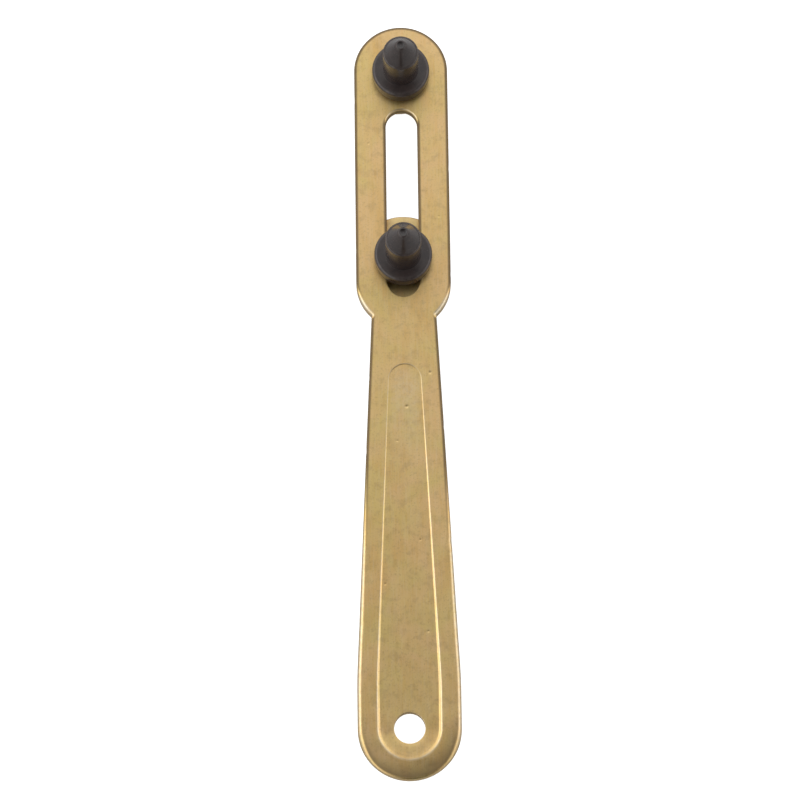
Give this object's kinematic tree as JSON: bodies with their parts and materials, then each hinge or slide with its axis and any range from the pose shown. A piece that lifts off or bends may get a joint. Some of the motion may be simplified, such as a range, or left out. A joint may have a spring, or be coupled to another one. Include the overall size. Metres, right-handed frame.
{
  "type": "adjustable two-pin face spanner",
  "caption": "Adjustable pin spanner: a flat tapered strap handle with a slotted head, one fixed pin and one pin that slides along the slot and is clamped by a nut behind.",
  "frame": {"origin": "on the fixed pin's axis, at the working face (the top) of its collar", "axes": "+Z along the pins towards their tips, +Y from the handle towards the head, +X across the strap"},
  "size_m": [0.0266, 0.2038, 0.0372],
  "materials": {
    "plated_strap": "steel strap with satin golden yellow-passivated zinc plating",
    "black_oxide": "turned steel, black oxide, satin with a slight purple-brown tint",
    "plated_fastener": "steel fasteners, yellow-passivated zinc plating"
  },
  "bodies": {
    "spanner": {"handle_plate": "plated_strap", "fixed_pin": "black_oxide", "fixed_plain_washer": "plated_fastener", "fixed_spring_washer": "plated_fastener", "fixed_nut": "plated_fastener"},
    "slider": {"sliding_pin": "black_oxide"},
    "clamp_washers": {"guide_washer": "plated_fastener", "clamp_spring_washer": "plated_fastener"},
    "clamp_nut_body": {"clamp_nut": "plated_fastener"}
  },
  "joints": [
    {"name": "pin_slide", "type": "slide", "parent": "spanner", "child": "slider", "axis": [0, 1, 0], "range_m": [-0.0045, 0.0308]},
    {"name": "washer_drop", "type": "slide", "parent": "slider", "child": "clamp_washers", "axis": [0, 0, -1], "range_m": [0, 0.0063]},
    {"name": "nut_turn", "type": "hinge", "parent": "clamp_washers", "child": "clamp_nut_body", "pos_m": [0, -0.0516, -0.01445], "axis": [0, 0, -1], "range_deg": [0, 1800]}
  ],
  "couplings": [
    {"joint": "washer_drop", "follows": "nut_turn", "m_per_rad": 0.00019894}
  ]
}
